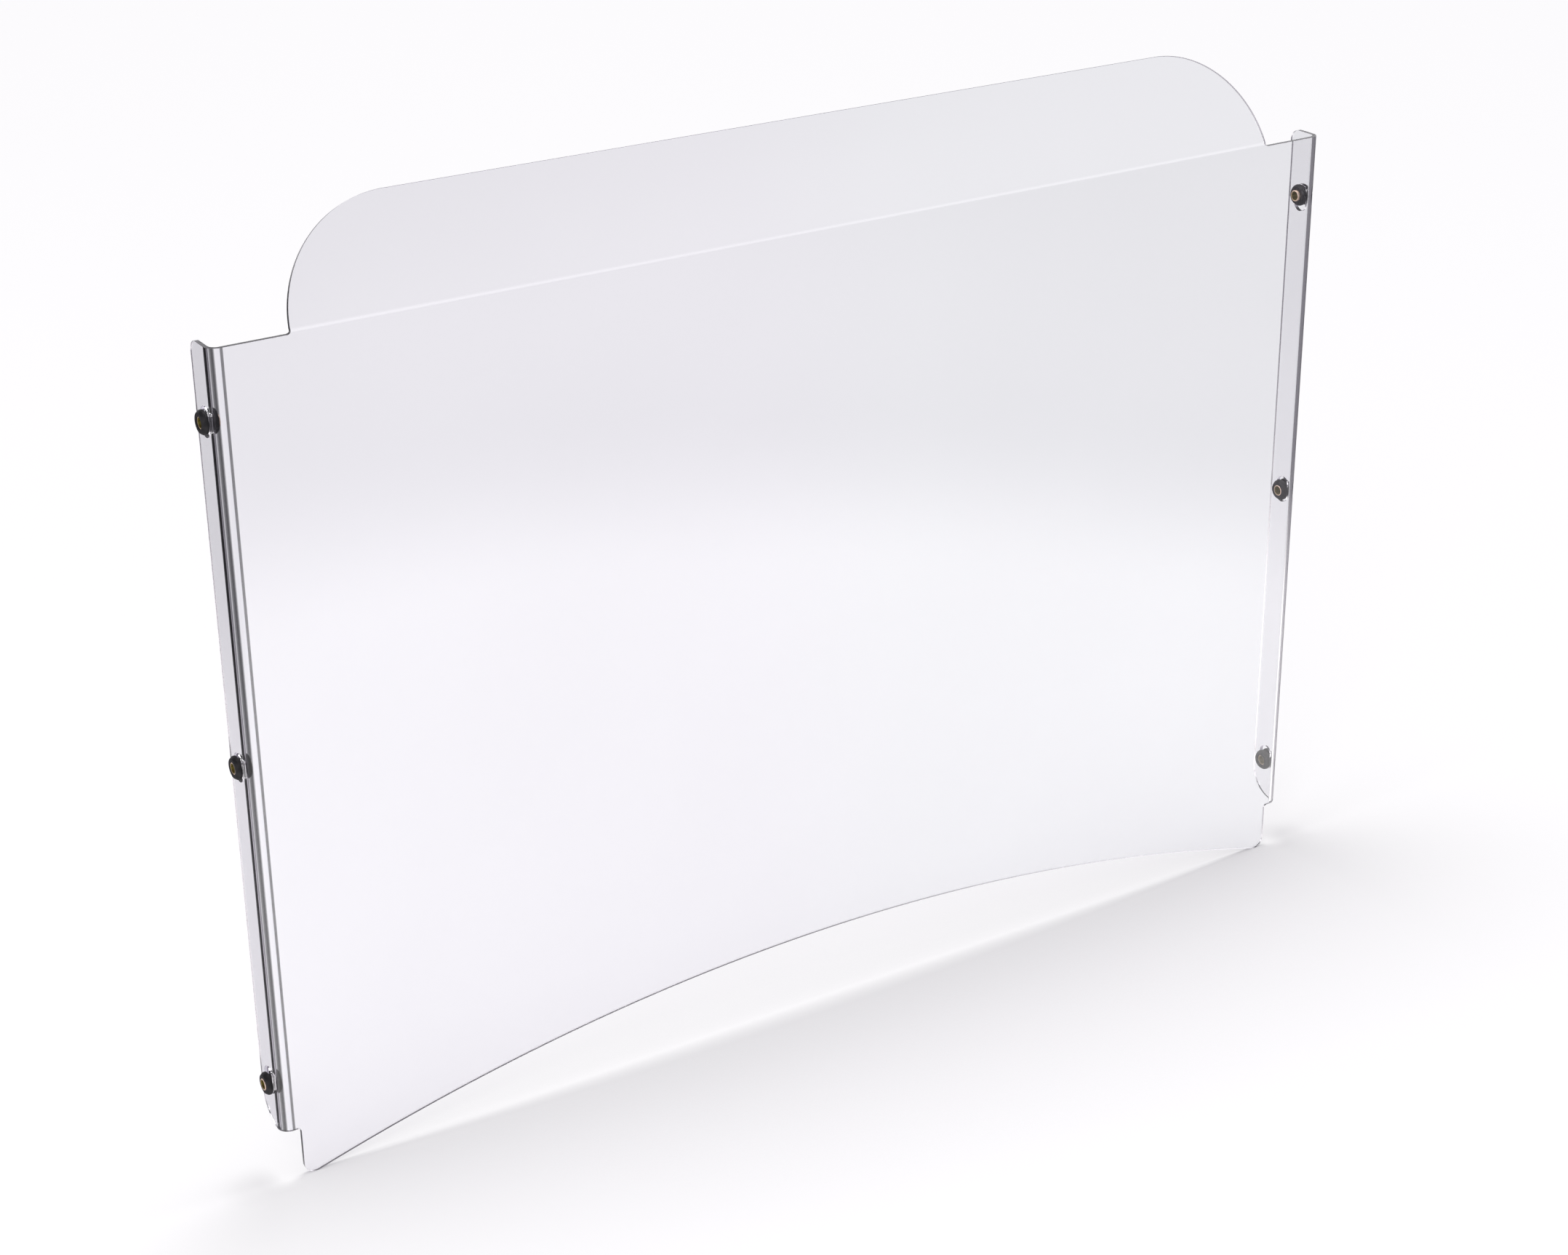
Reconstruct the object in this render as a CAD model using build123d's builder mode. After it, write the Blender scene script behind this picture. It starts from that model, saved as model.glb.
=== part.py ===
"""Clear desk privacy panel: one bent sheet, screwed at its sides through six cushioned grommets.

Frame: +X along the width, +Y to the back, +Z up.  The origin is in the middle of the width and
of the depth, and the two feet touch z = 0.  All sizes are in millimetres.
"""

from build123d import *
import math
import os

os.makedirs("parts", exist_ok=True)

# ---- driving dimensions: the sheet -------------------------------------------------------------
sheet = 3.0                  # thickness of the clear sheet
width = 900.0                # over the outer faces of the two side flanges
shoulder_height = 607.0      # top edge of the flanges and of the sheet beside the tab
flange_depth = 30.0          # front face to the back edge of a flange
bend_radius = 5.5            # inside radius of the two side bends
flange_top_radius = 8.5      # back corner of a flange, top
flange_bottom_radius = 24.0  # back corner of a flange, bottom
flange_foot_height = 38.0    # bottom edge of a flange, above the feet

foot_half_width = 436.0      # outer side of a foot
foot_radius = 8.0            # outer corner of a foot
arch_half_span = 426.0       # the arch meets the feet here
arch_rise = 58.5             # middle of the arch, above the feet
notch_radius = 2.5           # inside corners, where the outline steps in

# ---- driving dimensions: the leaning tab along the top -----------------------------------------
tab_half_width = 395.5
tab_lean = 25.0              # degrees back from upright
tab_length = 78.0            # along the slope, from the crease to the top edge
tab_corner_radius = 84.0     # the round corners reach right down to the crease
crease_radius = 6.0          # inside radius of the bend, which starts level with the shoulders

# ---- driving dimensions: the six screw points --------------------------------------------------
slot_length = 21.0
slot_width = 12.5
slot_setback = 17.0          # slot centres, behind the front face
slot_middle_height = 314.5
slot_pitch = 241.0

rubber_diameter = 16.5
rubber_flange = 2.0          # thickness of each rubber flange, at its rim
boss_diameter = 14.0         # from its rim each flange rises as a cone to a flat boss
boss_height = 2.0
rubber_rim_radius = 0.5
groove_diameter = 12.0
groove_width = 3.3           # the sheet sits in this groove with a little play
sleeve_diameter = 8.5
sleeve_bore = 6.4            # passes an M6 screw
sleeve_length = 12.0
sleeve_chamfer = 0.25

# Each screw point: its side and level, how far the grommet rests above the middle of its slot,
# and how far its sleeve has slid outwards.
screw_points = (
    ("left", "top", 0.0, -1.1),
    ("left", "middle", 0.3, -0.6),
    ("left", "bottom", -2.5, 0.0),
    ("right", "top", 2.4, -1.3),
    ("right", "middle", -0.2, 0.2),
    ("right", "bottom", -1.8, 1.4),
)
slot_heights = {
    "top": slot_middle_height + slot_pitch,
    "middle": slot_middle_height,
    "bottom": slot_middle_height - slot_pitch,
}

# ---- sizes that follow -------------------------------------------------------------------------
half_width = width / 2
flange_middle = half_width - sheet / 2  # mid-thickness of a side flange
arch_radius = (arch_half_span**2 + arch_rise**2) / (2 * arch_rise)

lean = math.radians(tab_lean)
front = -(tab_length * math.sin(lean) + sheet * math.cos(lean)) / 2  # y of the front face
back = front + flange_depth                                          # y of the flanges' back edges
slot_y = front + slot_setback

# The crease is where the front faces of the sheet and of the tab would meet if it were sharp.
outer_crease_radius = crease_radius + sheet
crease_height = shoulder_height + outer_crease_radius * math.tan(lean / 2)
tab_normal = (0, -math.cos(lean), math.sin(lean))
tab_plane = Plane(origin=(0, front, crease_height), x_dir=(1, 0, 0), z_dir=tab_normal)

# The tab's half width just above its root, where its round side meets the inside corner.
arc_drop = tab_corner_radius - tab_length + notch_radius
root_half_width = (
    tab_half_width - tab_corner_radius + math.sqrt(tab_corner_radius**2 - arc_drop**2)
)


# ---- the tab's own shape, added to the sheet below ---------------------------------------------
# A strip bends back along the crease and runs straight up its slope.  Its top corners are round,
# and its root is left wide, for the inside corners that the sheet's outline cuts beside it.
with BuildPart() as tab:
    with BuildSketch(Plane.YZ):
        with BuildLine():
            bend_centre = (front + outer_crease_radius, shoulder_height)
            front_bend = CenterArc(bend_centre, outer_crease_radius, 180, -tab_lean)
            back_bend = CenterArc(bend_centre, crease_radius, 180, -tab_lean)
            Line(front_bend @ 0, back_bend @ 0)
            front_slope = PolarLine(front_bend @ 1, tab_length, 90 - tab_lean)
            back_slope = PolarLine(back_bend @ 1, tab_length, 90 - tab_lean)
            Line(front_slope @ 1, back_slope @ 1)
        make_face()
    extrude(amount=tab_half_width + sheet, both=True)
    with BuildSketch(tab_plane):
        with BuildLine():
            FilletPolyline(
                (-tab_half_width, -tab_length),
                (-tab_half_width, tab_length),
                (tab_half_width, tab_length),
                (tab_half_width, -tab_length),
                radius=tab_corner_radius,
            )
            Line((tab_half_width, -tab_length), (-tab_half_width, -tab_length))
        make_face()
        Rectangle(2 * (tab_half_width + sheet), 2 * notch_radius)
    extrude(amount=flange_depth, both=True, mode=Mode.INTERSECT)


# ---- the clear sheet ---------------------------------------------------------------------------
with BuildPart() as clear_panel:
    # Seen from above it is a wide shallow U.
    with BuildSketch(Plane.XY):
        with BuildLine():
            outer = FilletPolyline(
                (-half_width, back),
                (-half_width, front),
                (half_width, front),
                (half_width, back),
                radius=bend_radius + sheet,
            )
            inner = FilletPolyline(
                (-half_width + sheet, back),
                (-half_width + sheet, front + sheet),
                (half_width - sheet, front + sheet),
                (half_width - sheet, back),
                radius=bend_radius,
            )
            Line(outer @ 0, inner @ 0)
            Line(outer @ 1, inner @ 1)
        make_face()
    extrude(amount=shoulder_height)
    add(tab.part)

    # Its outline seen from the front: the feet, the arch between them, and the shoulders.
    beyond = half_width + sheet
    above = shoulder_height + 2 * tab_length
    with BuildSketch(Plane.XZ):
        with BuildLine():
            RadiusArc((0, arch_rise), (arch_half_span, 0), arch_radius)
            FilletPolyline(
                (arch_half_span, 0),
                (foot_half_width, 0),
                (foot_half_width, flange_foot_height),
                (beyond, flange_foot_height),
                radius=[foot_radius, notch_radius],
            )
            Line((beyond, flange_foot_height), (beyond, shoulder_height))
            FilletPolyline(
                (beyond, shoulder_height),
                (root_half_width, shoulder_height),
                (root_half_width, crease_height + notch_radius),
                radius=notch_radius,
            )
            Polyline(
                (root_half_width, crease_height + notch_radius),
                (beyond, crease_height + notch_radius),
                (beyond, above),
                (0, above),
            )
            mirror(about=Plane.YZ)
        make_face()
    extrude(amount=3 * flange_depth, both=True, mode=Mode.INTERSECT)

    # The rounded back corners of the side flanges.
    flange_ends = clear_panel.edges().filter_by(Axis.X).filter_by_position(
        Axis.Y, back - 0.1, back + 0.1
    )
    fillet(flange_ends.group_by(Axis.Z)[-1], flange_top_radius)
    fillet(flange_ends.group_by(Axis.Z)[0], flange_bottom_radius)

    # Three upright slots through each flange.
    for flange_plane in (Plane.YZ.offset(-flange_middle), Plane.YZ.offset(flange_middle)):
        with BuildSketch(flange_plane):
            with Locations(*[(slot_y, height) for height in slot_heights.values()]):
                SlotOverall(slot_length, slot_width, rotation=90)
        extrude(amount=sheet, both=True, mode=Mode.SUBTRACT)
clear_panel.part.label = "clear_panel"
export_step(clear_panel.part, "parts/clear_panel.step")
print(f"clear_panel: {clear_panel.part.volume / 1000:.1f} cm3")


# ---- the six rubber grommets, and the brass sleeve in each -------------------------------------
half_rubber_length = groove_width / 2 + rubber_flange + boss_height

for side_name, level, rise, slide_out in screw_points:
    side = -1 if side_name == "left" else 1
    centre = Vector(side * flange_middle, slot_y, slot_heights[level] + rise)
    outward = Vector(side, 0, 0)

    # A spool of rubber: two round flanges, and between them a groove for the edge of the slot.
    # Its section has the distance from the axis to the right and the outward direction upwards.
    with BuildPart() as grommet:
        with BuildSketch(Plane(origin=centre, x_dir=(0, 1, 0), z_dir=(0, 0, -side))):
            with BuildLine():
                Polyline(
                    (sleeve_diameter / 2, 0),
                    (sleeve_diameter / 2, half_rubber_length),
                    (boss_diameter / 2, half_rubber_length),
                    (rubber_diameter / 2, groove_width / 2 + rubber_flange),
                    (rubber_diameter / 2, groove_width / 2),
                    (groove_diameter / 2, groove_width / 2),
                    (groove_diameter / 2, 0),
                )
                mirror(about=Plane.XZ)
            make_face()
        revolve(axis=Axis(centre, outward))
        rims = grommet.edges().filter_by(GeomType.CIRCLE).filter_by(
            lambda edge: edge.radius > groove_diameter / 2 + 0.1
        )
        fillet(rims, rubber_rim_radius)
    grommet.part.label = f"grommet_{side_name}_{level}"
    export_step(grommet.part, f"parts/grommet_{side_name}_{level}.step")

    # A plain brass tube that takes the screw's load past the rubber.
    with BuildPart() as sleeve:
        with BuildSketch(Plane(origin=centre + outward * slide_out, z_dir=outward)):
            Circle(sleeve_diameter / 2)
            Circle(sleeve_bore / 2, mode=Mode.SUBTRACT)
        extrude(amount=sleeve_length / 2, both=True)
        chamfer(sleeve.edges().filter_by(GeomType.CIRCLE), sleeve_chamfer)
    sleeve.part.label = f"sleeve_{side_name}_{level}"
    export_step(sleeve.part, f"parts/sleeve_{side_name}_{level}.step")
    print(f"{side_name} {level}: screw axis at y {centre.Y:.1f}, z {centre.Z:.1f}")
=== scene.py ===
# %% [markdown]
# # A clear desk privacy panel
#
# The panel is one sheet of clear plastic, 3 mm thick.  Its two sides are bent back into narrow
# flanges and its top edge leans back as a rounded tab.  Each flange has three slots, and in each
# slot sits a black rubber grommet with a brass sleeve, which a screw passes through.
#
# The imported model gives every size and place.  This file gives the looks: a sheet that is cut
# flat and then folded, as its maker does it, turned brass, moulded rubber, and a white studio.
# Everything is in metres, with X along the width, Y to the back and Z up.

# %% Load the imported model
import math

import bmesh
import bpy
from mathutils import Matrix, Vector


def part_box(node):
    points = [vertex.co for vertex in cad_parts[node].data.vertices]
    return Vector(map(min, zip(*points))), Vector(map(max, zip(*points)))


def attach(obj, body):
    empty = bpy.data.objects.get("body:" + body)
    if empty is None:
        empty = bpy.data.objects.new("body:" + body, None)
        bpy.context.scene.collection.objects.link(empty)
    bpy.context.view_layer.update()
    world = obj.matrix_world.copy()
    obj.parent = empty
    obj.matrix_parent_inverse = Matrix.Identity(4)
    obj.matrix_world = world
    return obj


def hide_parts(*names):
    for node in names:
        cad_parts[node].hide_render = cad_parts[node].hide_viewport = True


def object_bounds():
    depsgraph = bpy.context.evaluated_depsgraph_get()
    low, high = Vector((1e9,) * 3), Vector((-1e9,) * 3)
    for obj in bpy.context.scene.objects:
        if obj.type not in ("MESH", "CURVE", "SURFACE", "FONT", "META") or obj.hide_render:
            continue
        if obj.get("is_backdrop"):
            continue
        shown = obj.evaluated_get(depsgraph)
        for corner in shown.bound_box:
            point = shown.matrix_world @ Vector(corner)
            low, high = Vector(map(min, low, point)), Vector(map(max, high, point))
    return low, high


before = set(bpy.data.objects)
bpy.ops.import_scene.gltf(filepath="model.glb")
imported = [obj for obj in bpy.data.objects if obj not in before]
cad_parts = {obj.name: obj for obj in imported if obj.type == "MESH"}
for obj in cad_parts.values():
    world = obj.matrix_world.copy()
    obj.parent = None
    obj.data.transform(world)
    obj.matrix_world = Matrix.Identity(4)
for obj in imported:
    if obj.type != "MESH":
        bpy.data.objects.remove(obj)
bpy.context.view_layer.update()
mm = 0.001

# %% [markdown]
# ## The camera
#
# The camera stands to the left of the panel and above it, and looks down on it with a
# slightly long lens, so that the far end doesn't shrink much.  A camera in Blender looks along
# its own -Z with +Y up, so three directions at right angles to each other give its rotation.
# They come from a heading, a tilt and a small roll, the three turns that a tripod head has.

# %% Place the camera
eye = Vector((-1.05666, -1.64350, 1.17983))
heading = math.radians(32.103)      # from straight ahead, towards the right-hand end
tilt = math.radians(24.166)         # downwards
roll = math.radians(-0.648)
lens_length = 67.10                 # mm, on a sensor 36 mm wide


def camera_turn(heading, tilt, roll):
    """The rotation of a camera that looks along a heading, tilted down, and rolled."""
    forward = Vector(
        (
            math.sin(heading) * math.cos(tilt),
            math.cos(heading) * math.cos(tilt),
            -math.sin(tilt),
        )
    )
    level = Vector((math.cos(heading), -math.sin(heading), 0))
    upward = level.cross(forward)
    right = level * math.cos(roll) + upward * math.sin(roll)
    up = upward * math.cos(roll) - level * math.sin(roll)
    return Matrix((right, up, -forward)).transposed()


camera = bpy.data.objects.new("camera", bpy.data.cameras.new("camera"))
camera.data.sensor_width = 36
camera.data.lens = lens_length
camera.matrix_world = Matrix.Translation(eye) @ camera_turn(heading, tilt, roll).to_4x4()
bpy.context.scene.collection.objects.link(camera)
bpy.context.scene.camera = camera
bpy.context.scene.view_settings.view_transform = "Standard"

# %% [markdown]
# ## Small helpers for node trees
#
# A material is a tree of nodes joined by links.  These helpers keep the trees short to read: they
# add nodes, do sums and mixes with them, start a material, and make and place a node group.

# %% Helpers


def add(tree, kind, **settings):
    """A new node of this kind, with its settings."""
    made = tree.nodes.new(kind)
    for name, value in settings.items():
        setattr(made, name, value)
    return made


def fill(tree, socket, value):
    """Feeds an input from another node's output, or gives it a plain value."""
    if isinstance(value, bpy.types.NodeSocket):
        tree.links.new(value, socket)
    else:
        socket.default_value = value


def sums(tree, operation, *values, clamp=False):
    """The output of a Math node that works on numbers or outputs."""
    made = add(tree, "ShaderNodeMath", operation=operation, use_clamp=clamp)
    for socket, value in zip(made.inputs, values):
        fill(tree, socket, value)
    return made.outputs[0]


def ramp(tree, value, low, high, to_low=0.0, to_high=1.0, smooth=True):
    """A value that goes from to_low to to_high as the input goes from low to high."""
    made = add(tree, "ShaderNodeMapRange", clamp=True)
    made.interpolation_type = "SMOOTHSTEP" if smooth else "LINEAR"
    for socket, given in zip(made.inputs, (value, low, high, to_low, to_high)):
        fill(tree, socket, given)
    return made.outputs[0]


def blend_colours(tree, share, first, second, blend_type="MIX"):
    """The output of a colour mix."""
    made = add(tree, "ShaderNodeMix", data_type="RGBA", blend_type=blend_type)
    fill(tree, made.inputs[0], share)
    fill(tree, made.inputs[6], first)
    fill(tree, made.inputs[7], second)
    return made.outputs[2]


def new_material(name):
    """A material with nothing in its tree but the output."""
    made = bpy.data.materials.new(name)
    made.use_nodes = True
    made.node_tree.nodes.clear()
    return made, made.node_tree, add(made.node_tree, "ShaderNodeOutputMaterial")


def shader(tree, **constants):
    """A Principled shader.  Its constants are set on its own sockets."""
    made = add(tree, "ShaderNodeBsdfPrincipled")
    for name, value in constants.items():
        made.inputs[name.replace("_", " ")].default_value = value
    return made


def link_mesh(name, mesh):
    """A new object that shows a mesh."""
    made = bpy.data.objects.new(name, mesh)
    bpy.context.scene.collection.objects.link(made)
    return made


def shade_evenly(piece):
    """Smooth shading in which the large faces stay flat."""
    piece.data.polygons.foreach_set("use_smooth", [True] * len(piece.data.polygons))
    even = piece.modifiers.new("even_shading", "WEIGHTED_NORMAL")
    even.mode = "FACE_AREA"
    even.weight = 100
    even.keep_sharp = False


def new_group(name, inputs, outputs):
    """An empty node group with number inputs, given with their usual values, and number outputs."""
    tree = bpy.data.node_groups.new(name, "ShaderNodeTree")
    for socket_name, usual in inputs.items():
        socket = tree.interface.new_socket(
            socket_name, in_out="INPUT", socket_type="NodeSocketFloat"
        )
        socket.default_value = usual
    for socket_name in outputs:
        tree.interface.new_socket(socket_name, in_out="OUTPUT", socket_type="NodeSocketFloat")
    return tree, add(tree, "NodeGroupInput").outputs, add(tree, "NodeGroupOutput").inputs


def place_group(tree, group, **values):
    """A group's node in a material, with this material's own values.  Gives its outputs."""
    node = add(tree, "ShaderNodeGroup", node_tree=group)
    for name, value in values.items():
        node.inputs[name.replace("_", " ")].default_value = value
    return node.outputs


def bumped(tree, height, distance):
    """A normal that a height has roughened.  Distance is how high a height of 1 stands."""
    made = add(tree, "ShaderNodeBump")
    made.inputs["Distance"].default_value = distance
    fill(tree, made.inputs["Height"], height)
    return made.outputs["Normal"]


# %% [markdown]
# ## The studio
#
# The floor is a wide sheet of white paper.  A large soft lamp hangs above the panel and gives it
# its soft shadows, a weak one stands near the camera, and even light comes from all round.
# Together they put the paper a little above white, so that only a real shadow shows on it.
#
# A clear sheet shows mostly what it mirrors, so a studio is arranged for its mirror images as much
# as for its light.  Here the sheet mirrors a painted reflection on the paper: a painted pool of
# light close to it, and painted dark surroundings beyond that.  Light Path tells a ray that has
# met a mirror from one that hasn't: its Glossy Depth counts the mirror bounces, and its
# Transmission Depth the surfaces that the ray has gone through.  So the paper can be plain white
# to the camera, painted a light grey as painted shade through the sheet, and a painted pool of
# light in its mirror.

# %% The lamps
paper_white = 1.07       # above white, so that only a real shadow shows
paper_colour = 0.92


def hang_lamp(name, place, size, share, target):
    """A square lamp that gives the paper at its target this share of the light that makes white."""
    lamp = bpy.data.objects.new(name, bpy.data.lights.new(name, "AREA"))
    lamp.data.shape = "SQUARE"
    lamp.data.size = size
    aim = target - place
    lamp.location = place
    lamp.rotation_mode = "QUATERNION"
    lamp.rotation_quaternion = aim.to_track_quat("-Z", "Y")
    slope = -aim.z / aim.length
    lamp.data.energy = share * math.pi**2 * aim.length**2 / (paper_colour * slope)
    bpy.context.scene.collection.objects.link(lamp)
    print(name, round(lamp.data.energy, 1), "W")


softbox_place = Vector((0.08, 0.24, 1.6))
below_softbox = Vector((softbox_place.x, softbox_place.y, 0))
softbox_share = 0.44
fill_place = Vector((-1.75, -1.93, 2.12))
fill_share = 0.10
hang_lamp("softbox", softbox_place, 0.70, softbox_share, below_softbox)
hang_lamp("fill", fill_place, 1.0, fill_share, Vector((0, 0, 0)))

# %% The paper floor
floor_half = 9.0
floor_drop = 0.2 * mm
# The pool is a painted reflection: only in the sheet's mirror does the paper glow as a painted pool
# of light, with painted dark surroundings.
pool_radius = 1.10
pool_soft = 0.52
painted_pool_front = (1.03, 1.02, 1.01, 1)      # the tone of the pool in front of the sheet,
painted_pool_glow = 0.72                       # and the light that it has above white
painted_pool_behind = (0.72, 0.70, 0.74, 1)
# A second painted pool of light, also seen only in the mirror.
second_painted_pool = (0.85, -1.55, 0)          # a faint one further out, off the middle
second_reach = 0.75
second_painted_glow = 0.55
painted_mirror_dark = (0.34, 0.33, 0.36, 1)
pool_seam = 0.02                        # half the width in which its front turns to its back
# Painted shade: the paper and the backdrop are painted this much darker where they are seen through
# the sheet.
painted_veil_shade = (0.893, 0.905, 0.915, 1)         # how much of the white shows through the sheet

floor_mesh = bpy.data.meshes.new("floor")
corners = [(-1, -1), (1, -1), (1, 1), (-1, 1)]
floor_mesh.from_pydata(
    [(x * floor_half, y * floor_half, -floor_drop) for x, y in corners], [], [(0, 1, 2, 3)]
)
floor = link_mesh("floor", floor_mesh)
floor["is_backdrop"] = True

paper, tree, output = new_material("white_paper")
place = add(tree, "ShaderNodeNewGeometry").outputs["Position"]
path = add(tree, "ShaderNodeLightPath")
under_lamp = add(tree, "ShaderNodeVectorMath", operation="DISTANCE")
fill(tree, under_lamp.inputs[0], place)
under_lamp.inputs[1].default_value = below_softbox
slant = sums(tree, "MULTIPLY", under_lamp.outputs["Value"], 1 / softbox_place.z)
fall_off = sums(tree, "POWER", sums(tree, "MULTIPLY_ADD", slant, slant, 1.0), -2.0)
missing = sums(tree, "MULTIPLY_ADD", fall_off, -softbox_share, softbox_share)

from_middle = add(tree, "ShaderNodeVectorMath", operation="LENGTH")
fill(tree, from_middle.inputs[0], place)
pool_in = pool_radius - pool_soft / 2
pool_out = pool_radius + pool_soft / 2
within = ramp(tree, from_middle.outputs["Value"], pool_in, pool_out, 1.0, 0.0)
apart = add(tree, "ShaderNodeSeparateXYZ")
fill(tree, apart.inputs[0], place)
in_front = ramp(tree, apart.outputs["Y"], -pool_seam, pool_seam, 1.0, 0.0)
pool = blend_colours(tree, in_front, painted_pool_behind, painted_pool_front)
# Painted reflection: in the mirror the paper takes these painted tones and glow.
mirrored = blend_colours(tree, within, painted_mirror_dark, pool)
painted_pool_light = sums(tree, "MULTIPLY", sums(tree, "MULTIPLY", within, in_front), painted_pool_glow)
from_second = add(tree, "ShaderNodeVectorMath", operation="DISTANCE")
fill(tree, from_second.inputs[0], place)
from_second.inputs[1].default_value = second_painted_pool
second_painted_light = ramp(tree, from_second.outputs["Value"], 0.0, second_reach, second_painted_glow, 0.0)
extra = sums(tree, "ADD", painted_pool_light, second_painted_light)

seen_through = sums(tree, "MINIMUM", path.outputs["Transmission Depth"], 1.0)
met_mirror = sums(tree, "MINIMUM", path.outputs["Glossy Depth"], 1.0)
# Through the sheet the paper is painted darker, as painted shade.
direct = blend_colours(tree, seen_through, (1, 1, 1, 1), painted_veil_shade)
light = blend_colours(tree, met_mirror, direct, mirrored)
fibre_scale = 900
fibre_contrast = 0.01
fibre = add(tree, "ShaderNodeTexNoise")
fibre.inputs["Scale"].default_value = fibre_scale
fill(tree, fibre.inputs["Vector"], place)
darkest, lightest = paper_colour - fibre_contrast, paper_colour + fibre_contrast
paper_tone = ramp(tree, fibre.outputs["Fac"], 0.2, 0.8, darkest, lightest)
matt = shader(tree, Roughness=0.9, Specular_IOR_Level=0.0)
fill(tree, matt.inputs["Base Color"], blend_colours(tree, 1.0, light, paper_tone, "MULTIPLY"))
fill(tree, matt.inputs["Emission Color"], light)
# The glow makes up for the softbox's fall-off, and in the mirror it adds the painted pool of light.
glow = sums(tree, "ADD", missing, sums(tree, "MULTIPLY", extra, met_mirror))
fill(tree, matt.inputs["Emission Strength"], glow)
fill(tree, output.inputs["Surface"], matt.outputs[0])
floor.data.materials.append(paper)
print("paper", 2 * floor_half, "m square, with a pool of", pool_radius, "m for the mirror")

# %% The light all round
round_colour = (0.985, 0.965, 1.0, 1)   # a little violet, as the shadows show
horizon_glow = (1.25, 1.23, 1.28, 1)
sky_low = (0.62, 0.61, 0.64, 1)
sky_high = (0.04, 0.035, 0.05, 1)
glow_fades = (12, 22)                   # degrees above the horizon
sky_darkens = (25, 31)


def by_height(tree, up, angles, to_low=0.0, to_high=1.0):
    """A value that changes between two heights above the horizon."""
    low, high = (math.sin(math.radians(angle)) for angle in angles)
    return ramp(tree, up, low, high, to_low, to_high)


world = bpy.data.worlds.new("studio")
bpy.context.scene.world = world
world.use_nodes = True
tree = world.node_tree
tree.nodes.clear()
path = add(tree, "ShaderNodeLightPath")
round_light = (paper_white - softbox_share - fill_share) / paper_colour
round_tone = tuple(value * round_light for value in round_colour[:3]) + (1,)
seen_through = sums(tree, "MINIMUM", path.outputs["Transmission Depth"], 1.0)
seen = sums(tree, "MAXIMUM", path.outputs["Is Camera Ray"], path.outputs["Is Transmission Ray"])
# Through the sheet the backdrop is painted darker, with the same painted shade.
white = blend_colours(tree, seen_through, (1, 1, 1, 1), painted_veil_shade)
plain = blend_colours(tree, seen, round_tone, white)

direction = add(tree, "ShaderNodeSeparateXYZ")
fill(tree, direction.inputs[0], add(tree, "ShaderNodeTexCoord").outputs["Generated"])
up = direction.outputs["Z"]
low_sky = blend_colours(tree, by_height(tree, up, sky_darkens), sky_low, sky_high)
glow = by_height(tree, up, glow_fades, 1.0, 0.0)
sky = blend_colours(tree, glow, low_sky, horizon_glow)
met_mirror = sums(tree, "MINIMUM", path.outputs["Glossy Depth"], 1.0)
background = add(tree, "ShaderNodeBackground")
fill(tree, background.inputs["Color"], blend_colours(tree, met_mirror, plain, sky))
fill(tree, add(tree, "ShaderNodeOutputWorld").inputs["Surface"], background.outputs[0])
print("all-round light", round(round_light, 3))

# %% [markdown]
# ## The sheet's blank
#
# The maker routs the sheet flat, rounds its edges a little, and folds it on hot wires.  It is made
# the same way here: a flat outline with six slots is filled, cut across where it will bend, and
# given its thickness and edges by two modifiers.  Last, each point is carried round the bends.
# A box with bevels could never give the even bends, and a cloth simulation would lose their
# exact radii.
#
# The blank's own coordinates are `u` along the width and `v` up the height, both measured on the
# outer skin, so that a bend's length is its outer radius times its angle.

# %% The sheet's sizes
sheet_low, sheet_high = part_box("clear_panel")
half_width = sheet_high.x
front = sheet_low.y
thickness = 3.0 * mm
flange_depth = 30.0 * mm
side_radius = 8.5 * mm          # outer radius of the two side bends
crease_radius = 9.0 * mm        # outer radius of the bend under the tab
tab_lean = math.radians(25)
shoulder_height = 607.0 * mm

side_start = half_width - side_radius
side_end = side_start + side_radius * math.pi / 2
flange_edge = side_end + flange_depth - side_radius
crease_end = shoulder_height + crease_radius * tab_lean
slope_start_z = shoulder_height + crease_radius * math.sin(tab_lean)
tab_top = crease_end + (sheet_high.z - slope_start_z) / math.cos(tab_lean)
print("blank:", round(2 * flange_edge, 4), "by", round(tab_top, 4), "m")

# %% The outline


def arc(centre, radius, start, end, steps):
    """Points on an arc, from a start angle to an end angle in degrees, both included."""
    angles = [math.radians(start + (end - start) * i / steps) for i in range(steps + 1)]
    return [(centre[0] + radius * math.cos(a), centre[1] + radius * math.sin(a)) for a in angles]


foot_half_width = 436.0 * mm
foot_radius = 8.0 * mm
arch_half_span = 426.0 * mm
arch_rise = 58.5 * mm
arch_radius = (arch_half_span**2 + arch_rise**2) / (2 * arch_rise)
arch_angle = math.degrees(math.asin(arch_half_span / arch_radius))
flange_foot = 38.0 * mm
flange_foot_radius = 24.0 * mm
flange_top_radius = 8.5 * mm
notch_radius = 2.5 * mm
tab_half_width = 395.5 * mm
tab_radius = 84.0 * mm
tab_arc_u = tab_half_width - tab_radius
tab_arc_v = tab_top - tab_radius

# Just above its root the tab's round side meets the inside corner beside it.
notch_top = shoulder_height + notch_radius
crease_tangent = crease_radius * math.tan(tab_lean / 2)     # from the sharp corner to the bend
root_v = notch_top + crease_end - shoulder_height - crease_tangent
root_angle = math.degrees(math.asin((root_v - tab_arc_v) / tab_radius))
root_u = tab_arc_u + tab_radius * math.cos(math.radians(root_angle))

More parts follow.
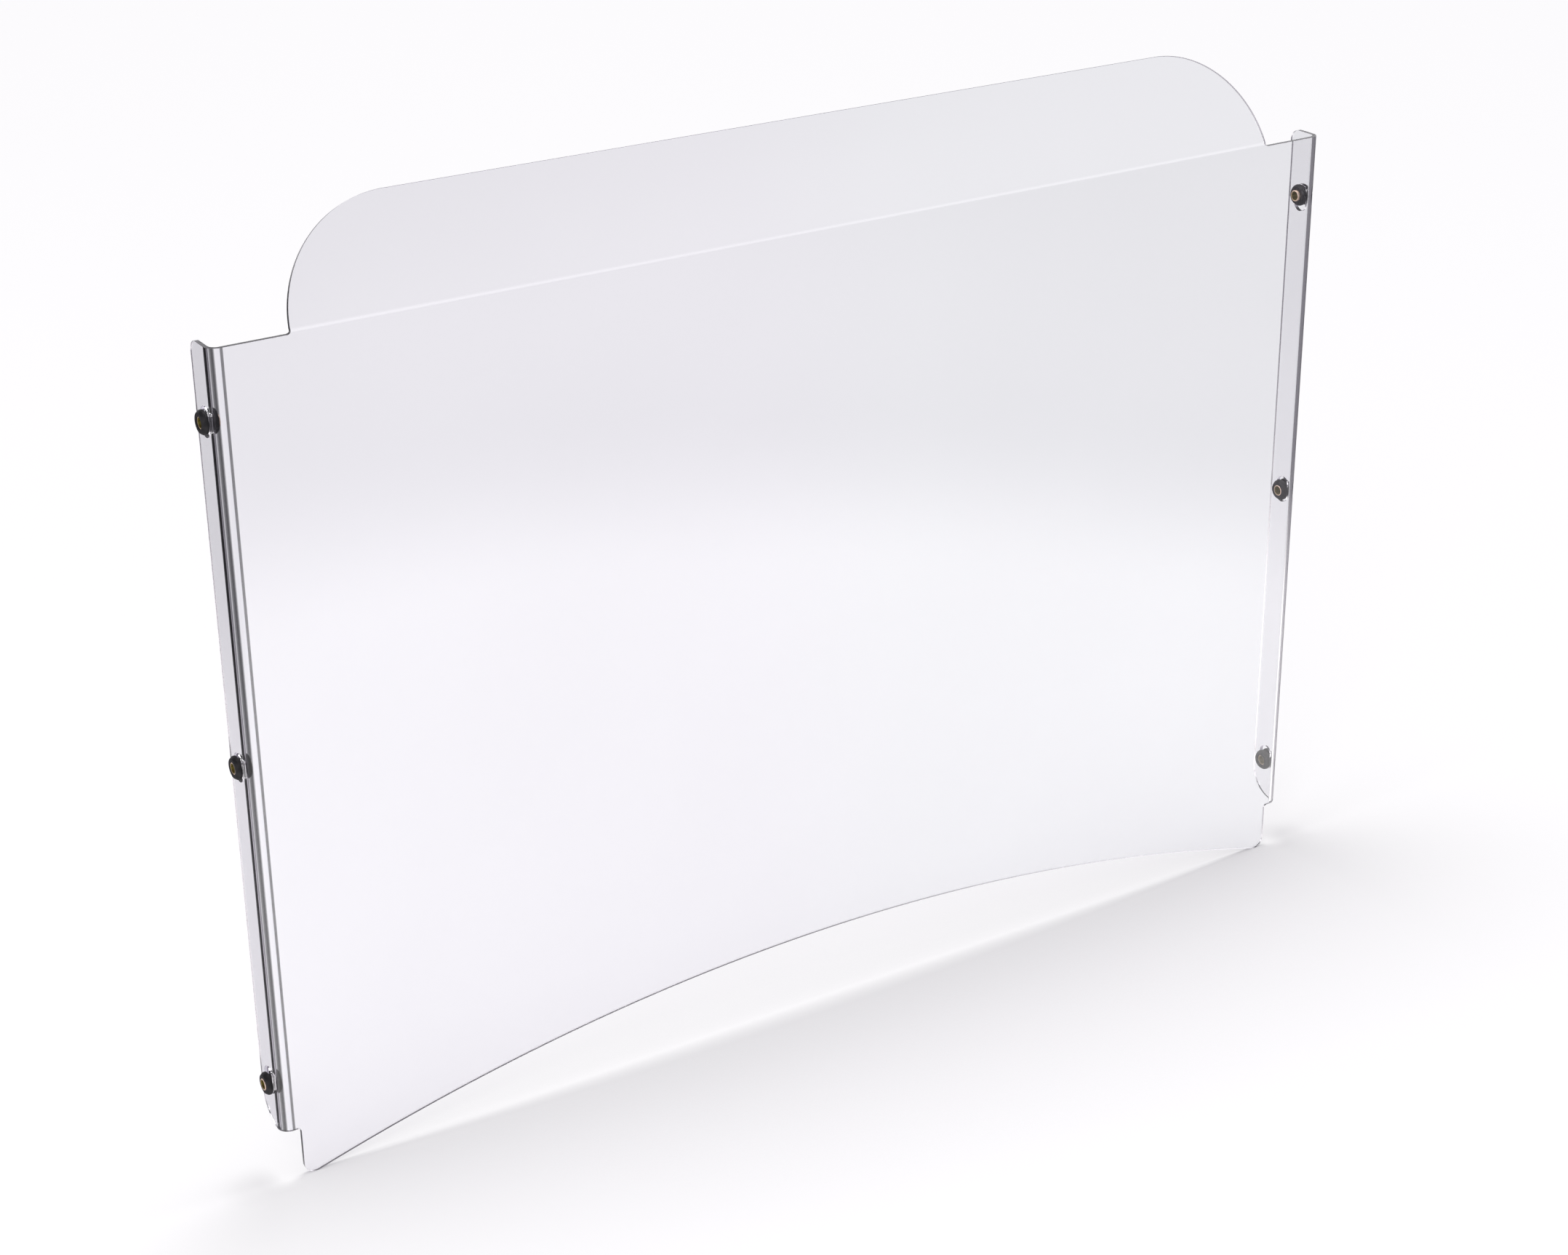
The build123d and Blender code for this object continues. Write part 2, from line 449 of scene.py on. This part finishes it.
half_outline = (
    arc((0, arch_rise - arch_radius), arch_radius, 90, 90 - arch_angle, 80)
    + arc((foot_half_width - foot_radius, foot_radius), foot_radius, -90, 0, 10)
    + arc((foot_half_width + notch_radius, flange_foot - notch_radius), notch_radius, 180, 90, 8)
    + arc(
        (flange_edge - flange_foot_radius, flange_foot + flange_foot_radius),
        flange_foot_radius, -90, 0, 24,
    )
    + arc(
        (flange_edge - flange_top_radius, shoulder_height - flange_top_radius),
        flange_top_radius, 0, 90, 14,
    )
    + arc((root_u + notch_radius, notch_top), notch_radius, 270, 180, 8)
    + arc((tab_arc_u, tab_arc_v), tab_radius, root_angle, 90, 48)
)
outline = half_outline + [(-u, v) for u, v in reversed(half_outline[1:])]

slot_length = 21.0 * mm
slot_width = 12.5 * mm
slot_setback = 17.0 * mm
slot_u = side_end + slot_setback - side_radius
slot_middle_height = 314.5 * mm
slot_pitch = 241.0 * mm


def slot_outline(u, v):
    """An upright slot with round ends."""
    reach = (slot_length - slot_width) / 2
    return (
        arc((u, v + reach), slot_width / 2, 0, 180, 24)
        + arc((u, v - reach), slot_width / 2, 180, 360, 24)
    )


slots = [
    slot_outline(side * slot_u, slot_middle_height + level * slot_pitch)
    for side in (-1, 1)
    for level in (-1, 0, 1)
]
print(len(outline), "points round the blank,", len(slots), "slots")

# %% Fill the blank and cut it where it will bend
side_cuts = 24
crease_cuts = 14
tolerance = 1e-7
side_lines = [side_start + (side_end - side_start) * i / side_cuts for i in range(side_cuts + 1)]
u_lines = [side * u for side in (-1, 1) for u in side_lines + [slot_u]]
v_lines = [
    shoulder_height + (crease_end - shoulder_height) * i / crease_cuts
    for i in range(crease_cuts + 1)
]


def filled(loops):
    """Flat triangles between an outline and the holes in it."""
    mesh = bmesh.new()
    edges = []
    for loop in loops:
        points = [mesh.verts.new((u, v, 0)) for u, v in loop]
        edges += [mesh.edges.new(pair) for pair in zip(points, points[1:] + points[:1])]
    bmesh.ops.triangle_fill(mesh, edges=edges, use_beauty=False, normal=(0, 0, 1))
    return mesh


def cut_across(mesh, axis, places):
    """Splits the faces along lines that cross an axis."""
    for place in places:
        line = Vector((0, 0, 0))
        line[axis] = 1
        geometry = mesh.verts[:] + mesh.edges[:] + mesh.faces[:]
        bmesh.ops.bisect_plane(
            mesh, geom=geometry, dist=tolerance, plane_co=line * place, plane_no=line
        )


def on_a_line(edge, axis, places):
    """True if both ends of an edge lie on one of the lines."""
    first, second = (vertex.co[axis] for vertex in edge.verts)
    if abs(first - second) >= tolerance:
        return False
    return any(abs(first - place) < tolerance for place in places)


blank = filled([outline] + slots)
cut_across(blank, 0, u_lines)
cut_across(blank, 1, v_lines)
loose = [
    edge
    for edge in blank.edges
    if len(edge.link_faces) == 2
    and not on_a_line(edge, 0, u_lines)
    and not on_a_line(edge, 1, v_lines)
]
bmesh.ops.dissolve_edges(blank, edges=loose, use_verts=False)
idle = [
    vertex
    for vertex in blank.verts
    if len(vertex.link_edges) == 2 and not vertex.is_boundary
]
bmesh.ops.dissolve_verts(blank, verts=idle)
for face in blank.faces:
    if face.normal.z < 0:
        face.normal_flip()
blank_mesh = bpy.data.meshes.new("clear_sheet")
blank.to_mesh(blank_mesh)
print("the blank has", len(blank.faces), "faces and", len(blank.verts), "points")
blank.free()

# %% Give it its thickness and its rounded edges
edge_round = 0.3 * mm
wall_margin = 0.5 * mm          # a slot's wall is looked for this far round the slot,
ends_margin = 5.0 * mm          # and this far from a flange's own ends
edge_index, wall_index = 1, 2   # the sheet's second and third materials

sheet = link_mesh("clear_sheet", blank_mesh)
thicken = sheet.modifiers.new("thickness", "SOLIDIFY")
thicken.thickness = thickness
thicken.offset = -1
thicken.use_even_offset = True
ease = sheet.modifiers.new("edges", "BEVEL")
ease.width = edge_round
ease.segments = 2
ease.limit_method = "ANGLE"
ease.angle_limit = math.radians(50)
ease.material = edge_index

clear_slot = bpy.data.materials.new("clear_plastic")
edge_slot = bpy.data.materials.new("cut_edge")
slot_wall = bpy.data.materials.new("slot_wall")
sheet.data.materials.append(clear_slot)
sheet.data.materials.append(edge_slot)
sheet.data.materials.append(slot_wall)
thicken.material_offset_rim = edge_index
graph = bpy.context.evaluated_depsgraph_get()
solid = bpy.data.meshes.new_from_object(sheet.evaluated_get(graph))
sheet.modifiers.clear()
sheet.data = solid
for face in solid.polygons:
    beside_slot = abs(abs(face.center.x) - slot_u) < slot_width / 2 + wall_margin
    between_ends = flange_foot + ends_margin < face.center.y < shoulder_height - ends_margin
    if face.material_index == edge_index and beside_slot and between_ends:
        face.material_index = wall_index
depths = [vertex.co.z for vertex in solid.vertices]
print("solid blank:", len(solid.polygons), "faces", round(max(depths) - min(depths), 5), "m thick")

# %% Fold it


def round_a_bend(length, radius, angle):
    """How far along a sheet's own line and how far back a length reaches past the start of a bend.

    Also gives the direction that the sheet has there, as an angle from where it started.
    """
    turned = min(max(length / radius, 0), angle)
    straight = length - radius * turned if turned > 0 else length
    along = radius * math.sin(turned) + straight * math.cos(turned)
    back = radius * (1 - math.cos(turned)) + straight * math.sin(turned)
    return along, back, turned


def folded(u, v, depth):
    """Where a point of the blank goes.  Depth is measured from the outer skin, inwards."""
    side = math.copysign(1, u)
    past_side, back_by_side, side_turn = round_a_bend(abs(u) - side_start, side_radius, math.pi / 2)
    past_crease, back_by_crease, lean = round_a_bend(v - shoulder_height, crease_radius, tab_lean)
    across = side_start + past_side - depth * math.sin(side_turn)
    height = shoulder_height + past_crease - depth * math.sin(lean)
    inwards = depth * math.cos(side_turn) * math.cos(lean)
    return Vector((side * across, front + back_by_side + back_by_crease + inwards, height))


for vertex in solid.vertices:
    u, v, depth = vertex.co
    vertex.co = folded(u, v, -depth)
shade_evenly(sheet)
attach(sheet, "panel")
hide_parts("clear_panel")
print("folded sheet spans", [round(size, 4) for size in sheet.dimensions])

# %% [markdown]
# ## Marks that several finishes share
#
# Nothing that has been handled is perfectly even.  Two node groups give the unevenness to all
# three materials: one gives cloudy patches and fine grain, the other gives hairlines, which run
# in many directions as wiping leaves them.  Each material places them with its own scale, so
# the same tree makes smudges on the sheet, bloom on the rubber and tarnish on the brass.

# %% Clouds and grain
clouds, given, result = new_group(
    "clouds_and_grain", {"Cloud Scale": 5.0, "Grain Scale": 900.0}, ("Cloud", "Grain")
)
where = add(clouds, "ShaderNodeTexCoord").outputs["Object"]
for scale_name, detail, out_name, low_edge, high_edge in (
    ("Cloud Scale", 3, "Cloud", 0.35, 0.65),
    ("Grain Scale", 2, "Grain", 0.25, 0.75),
):
    noise = add(clouds, "ShaderNodeTexNoise")
    noise.inputs["Detail"].default_value = detail
    fill(clouds, noise.inputs["Vector"], where)
    fill(clouds, noise.inputs["Scale"], given[scale_name])
    fill(clouds, result[out_name], ramp(clouds, noise.outputs["Fac"], low_edge, high_edge))
print("group", clouds.name)

# %% Hairlines
line_count = 40.0
gap_scale = 2.7          # how much finer than the lines' own drift the gaps in them are
hairlines, given, result = new_group("hairlines", {"Scale": 14.0, "Fineness": 0.03}, ("Line",))
where = add(hairlines, "ShaderNodeTexCoord").outputs["Object"]
drift = add(hairlines, "ShaderNodeTexNoise")
fill(hairlines, drift.inputs["Vector"], where)
fill(hairlines, drift.inputs["Scale"], given["Scale"])
steps = sums(hairlines, "MULTIPLY", drift.outputs["Fac"], line_count)
phase = sums(hairlines, "SUBTRACT", sums(hairlines, "FRACT", steps), 0.5)
from_line = sums(hairlines, "ABSOLUTE", phase)
fine = ramp(hairlines, from_line, 0.0, given["Fineness"], 1.0, 0.0)
some = add(hairlines, "ShaderNodeTexNoise")
fill(hairlines, some.inputs["Vector"], where)
fill(hairlines, some.inputs["Scale"], sums(hairlines, "MULTIPLY", given["Scale"], gap_scale))
kept = ramp(hairlines, some.outputs["Fac"], 0.55, 0.7)
fill(hairlines, result["Line"], sums(hairlines, "MULTIPLY", fine, kept))
print("group", hairlines.name)

# %% [markdown]
# ## The clear plastic
#
# A Principled shader with full transmission refracts and mirrors as clear plastic does.  It would
# also throw a hard dark shadow, because a plain render can't find the lamp through it.  So a ray
# on its way to a lamp, or one that a matt surface has scattered, goes straight through a
# Transparent shader, which keeps back only what the sheet's two faces would mirror.
#
# The faces are polished and almost free of colour.  The cut edges are frosted by the router, so
# they look dark against white paper and draw the outline of the sheet.  The walls of the slots
# are given a smoother and lighter finish.  The streaks along the side bends are partly real
# refraction, and partly painted shade: a tone that is painted by the angle of the bend.

# %% The clear plastic
plastic_ior = 1.585

# Painted shade across a side bend: tones by the angle that the sheet has turned there, in degrees.
painted_bend_tones = (
    (-9.0, 1.0), (-6.5, 0.10), (-1.0, 0.06), (2.0, 0.95), (30.0, 1.0), (35.0, 0.28), (43.0, 0.05),
    (49.0, 0.14), (54.0, 0.42), (60.0, 0.30), (66.0, 0.95), (73.0, 0.90), (80.0, 0.34),
    (88.0, 0.50), (95.0, 1.0),
)

right_bend_shade_fade = 0.93     # how much of that is missing at the right-hand bend
smudge_tint = 0.012
smudge_roughness = 0.006
scratch_roughness = 0.02


def bend_shade(tree):
    """The painted shade along each side bend: 1 is clear, and 0 is black.

    The right-hand bend shows only a trace of it.
    """
    apart = add(tree, "ShaderNodeSeparateXYZ")
    fill(tree, apart.inputs[0], add(tree, "ShaderNodeTexCoord").outputs["Object"])
    out = sums(tree, "SUBTRACT", sums(tree, "ABSOLUTE", apart.outputs["X"]), side_start)
    ahead = sums(tree, "SUBTRACT", front + side_radius, apart.outputs["Y"])
    turned = sums(tree, "ARCTAN2", out, ahead)
    low, high = math.radians(painted_bend_tones[0][0]), math.radians(painted_bend_tones[-1][0])
    bands = add(tree, "ShaderNodeValToRGB")
    fill(tree, bands.inputs[0], ramp(tree, turned, low, high, smooth=False))
    stops = bands.color_ramp.elements
    for i, (angle, tone) in enumerate(painted_bend_tones):
        place = (math.radians(angle) - low) / (high - low)
        stop = stops[i] if i in (0, 1) else stops.new(place)
        stop.position = place
        stop.color = (tone, tone * 0.985, min(tone * 1.02, 1), 1)
    right_side_fade = ramp(tree, apart.outputs["X"], -0.1, 0.1, 0.0, right_bend_shade_fade)
    return blend_colours(tree, right_side_fade, bands.outputs["Color"], (1, 1, 1, 1))


def clear_material(material, tint, roughness, shade):
    """Clear plastic that refracts, and that lets lamplight and scattered light through."""
    material.use_nodes = True
    tree = material.node_tree
    tree.nodes.clear()
    output = add(tree, "ShaderNodeOutputMaterial")
    marks = place_group(tree, clouds, Cloud_Scale=4.0, Grain_Scale=700.0)
    wiped = place_group(tree, hairlines, Scale=9.0, Fineness=0.02)
    deeper = tuple(value - smudge_tint for value in tint[:3]) + (1,)
    glass = shader(tree, IOR=plastic_ior, Transmission_Weight=1.0)
    clouded = blend_colours(tree, marks["Cloud"], tint, deeper)
    # The base colour carries the painted shade of the side bends.
    colour = blend_colours(tree, 1.0, clouded, bend_shade(tree), "MULTIPLY")
    fill(tree, glass.inputs["Base Color"], colour)
    roughest = roughness + smudge_roughness
    smudged = ramp(tree, marks["Cloud"], 0.0, 1.0, roughness, roughest, smooth=False)
    scratched = sums(tree, "MULTIPLY_ADD", wiped["Line"], scratch_roughness, smudged)
    fill(tree, glass.inputs["Roughness"], scratched)

    # Inside the plastic the mirroring is the same as outside, so the index is turned over there.
    outside = add(tree, "ShaderNodeFresnel")
    outside.inputs["IOR"].default_value = plastic_ior
    inside = add(tree, "ShaderNodeFresnel")
    inside.inputs["IOR"].default_value = 1 / plastic_ior
    backfacing = add(tree, "ShaderNodeNewGeometry").outputs["Backfacing"]
    mirror = ramp(tree, backfacing, 0.0, 1.0, outside.outputs[0], inside.outputs[0], smooth=False)
    through = add(tree, "ShaderNodeBsdfTransparent")
    fill(tree, through.inputs["Color"], blend_colours(tree, mirror, shade, (0, 0, 0, 1)))

    path = add(tree, "ShaderNodeLightPath")
    for_scattered = add(tree, "ShaderNodeMixShader")
    fill(tree, for_scattered.inputs[0], path.outputs["Is Diffuse Ray"])
    fill(tree, for_scattered.inputs[1], glass.outputs[0])
    fill(tree, for_scattered.inputs[2], through.outputs[0])
    for_lamps = add(tree, "ShaderNodeMixShader")
    fill(tree, for_lamps.inputs[0], path.outputs["Is Shadow Ray"])
    fill(tree, for_lamps.inputs[1], for_scattered.outputs[0])
    fill(tree, for_lamps.inputs[2], through.outputs[0])
    fill(tree, output.inputs["Surface"], for_lamps.outputs[0])
    print(material.name, "lets through", [round(value, 2) for value in shade[:3]])


clear_material(clear_slot, (0.985, 0.98, 0.99, 1), 0.0, (0.97, 0.962, 0.98, 1))
clear_material(edge_slot, (0.50, 0.48, 0.55, 1), 0.22, (0.45, 0.44, 0.48, 1))
clear_material(slot_wall, (0.93, 0.92, 0.95, 1), 0.10, (0.80, 0.79, 0.82, 1))

# %% [markdown]
# ## Turned and moulded rings
#
# A grommet is moulded and a sleeve is turned, and both are round, so one section swept round an
# axis gives either.  A screw modifier would do it too, but doing it in mesh code keeps the
# seam closed.  The grommet's section has what the mould leaves: rounded lips, and a fine line
# round each rim where the two halves of the mould met.

# %% Sweep a section round the X axis
round_steps = 96


def swept_ring(name, section, centre, material):
    """A closed ring from a section of (distance from the axis, place along it), in mm."""
    mesh = bmesh.new()
    rings = []
    for step in range(round_steps):
        angle = 2 * math.pi * step / round_steps
        rings.append(
            [
                mesh.verts.new((along * mm, r * mm * math.cos(angle), r * mm * math.sin(angle)))
                for r, along in section
            ]
        )
    for ring, following in zip(rings, rings[1:] + rings[:1]):
        for i in range(len(section)):
            j = (i + 1) % len(section)
            mesh.faces.new((ring[i], ring[j], following[j], following[i]))
    bmesh.ops.recalc_face_normals(mesh, faces=mesh.faces)
    made = bpy.data.meshes.new(name)
    mesh.to_mesh(made)
    mesh.free()
    made.materials.append(material)
    piece = link_mesh(name, made)
    piece.location = centre
    shade_evenly(piece)
    return piece


def both_ends(section):
    """A section for one end, and the same mirrored for the other end."""
    return section + [(r, -along) for r, along in reversed(section)]


def corner(r, along, radius, start, end):
    """A rounded corner of a section, with its centre at (r, along)."""
    return arc((r, along), radius, start, end, 5)


# %% [markdown]
# ## The rubber
#
# Black moulded rubber is never quite black: old rubber carries a grey bloom in patches, its skin
# is finely pebbled, and its rounded lips catch the light.

# %% The rubber's material
rubber, tree, output = new_material("moulded_rubber")
skin = place_group(tree, clouds, Cloud_Scale=260.0, Grain_Scale=2600.0)
wiped = place_group(tree, hairlines, Scale=220.0, Fineness=0.05)
black = (0.009, 0.009, 0.010, 1)
bloom = (0.022, 0.020, 0.022, 1)
pebble_height = 0.02 * mm
satin = shader(tree, Specular_IOR_Level=0.22)
fill(tree, satin.inputs["Base Color"], blend_colours(tree, skin["Cloud"], black, bloom))
pebbled = ramp(tree, skin["Grain"], 0.0, 1.0, 0.46, 0.62)
fill(tree, satin.inputs["Roughness"], sums(tree, "MULTIPLY_ADD", wiped["Line"], -0.08, pebbled))
fill(tree, satin.inputs["Normal"], bumped(tree, skin["Grain"], pebble_height))
fill(tree, output.inputs["Surface"], satin.outputs[0])
print(rubber.name, "with grain and bloom")

# %% The six grommets
rubber_section = both_ends(
    corner(4.55, 5.37, 0.28, 180, 90)
    + corner(6.50, 5.15, 0.50, 90, 30)
    + corner(7.57, 3.50, 0.60, 30, 0)
    + [(8.17, 2.95), (8.25, 2.87), (8.25, 2.77), (8.17, 2.69)]
    + corner(7.72, 2.10, 0.45, 0, -90)
    + [(6.3, 1.65)]
    + corner(6.2, 1.45, 0.20, 90, 180)
)
for name in [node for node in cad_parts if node.startswith("grommet")]:
    low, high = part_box(name)
    piece = swept_ring(name.replace("grommet", "rubber"), rubber_section, (low + high) / 2, rubber)
    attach(piece, name.replace("grommet", "mount"))
    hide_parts(name)
print("rubber", round((high - low).y / mm, 2), "mm across,", len(rubber_section), "section points")

# %% [markdown]
# ## The brass
#
# The sleeves are cut from drawn tube.  Their faced ends are bright and a little pink, with the
# rings that the tool leaves.  The bore keeps the olive skin of the drawn tube, and is painted
# darker as painted shade, for the little light that gets in.

# %% The brass's material
# Inside bore_ends the colour is the olive skin with painted shade on it.
bore_ends = 3.52 * mm        # from the axis, where the olive skin stops,
face_starts = 3.66 * mm      # and where the bright end begins
tool_pitch = 0.09 * mm
tool_depth = 0.004 * mm
brass, tree, output = new_material("turned_brass")
own_place = add(tree, "ShaderNodeTexCoord").outputs["Object"]
crosswise = add(tree, "ShaderNodeVectorMath", operation="MULTIPLY")
fill(tree, crosswise.inputs[0], own_place)
crosswise.inputs[1].default_value = (0, 1, 1)
radius = add(tree, "ShaderNodeVectorMath", operation="LENGTH")
fill(tree, radius.inputs[0], crosswise.outputs[0])
from_axis = radius.outputs["Value"]
end_face = ramp(tree, from_axis, bore_ends, face_starts)
tarnish = place_group(tree, clouds, Cloud_Scale=420.0, Grain_Scale=3000.0)
bright = blend_colours(tree, tarnish["Cloud"], (1.0, 0.78, 0.66, 1), (0.90, 0.64, 0.46, 1))
# The bore's colour is olive skin painted darker as painted shade, for the little light that gets
# in.
bore = blend_colours(tree, tarnish["Cloud"], (0.32, 0.27, 0.06, 1), (0.17, 0.12, 0.04, 1))
tool_rings = add(tree, "ShaderNodeMath", operation="SINE")
fill(tree, tool_rings.inputs[0], sums(tree, "MULTIPLY", from_axis, 2 * math.pi / tool_pitch))
metal = shader(tree, Metallic=0.55)
fill(tree, metal.inputs["Base Color"], blend_colours(tree, end_face, bore, bright))
fill(tree, metal.inputs["Roughness"], ramp(tree, tarnish["Grain"], 0.0, 1.0, 0.24, 0.40))
grooves = sums(tree, "MULTIPLY", tool_rings.outputs[0], end_face)
fill(tree, metal.inputs["Normal"], bumped(tree, grooves, tool_depth))
fill(tree, output.inputs["Surface"], metal.outputs[0])
print(brass.name, "with a bright end and an olive bore")

# %% The six sleeves
sleeve_section = both_ends(
    [(3.2, 5.75), (3.45, 6.0)] + corner(3.90, 5.65, 0.35, 90, 0)
)
for name in [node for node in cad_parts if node.startswith("sleeve")]:
    low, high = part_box(name)
    piece = swept_ring(name.replace("sleeve", "tube"), sleeve_section, (low + high) / 2, brass)
    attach(piece, name.replace("sleeve", "mount"))
    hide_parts(name)
print("sleeve", round((high - low).x / mm, 2), "mm long,", len(sleeve_section), "section points")

# %% Measure the sizes and finish
low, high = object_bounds()
print("visual box", [round(x, 4) for x in (*low, *high)])
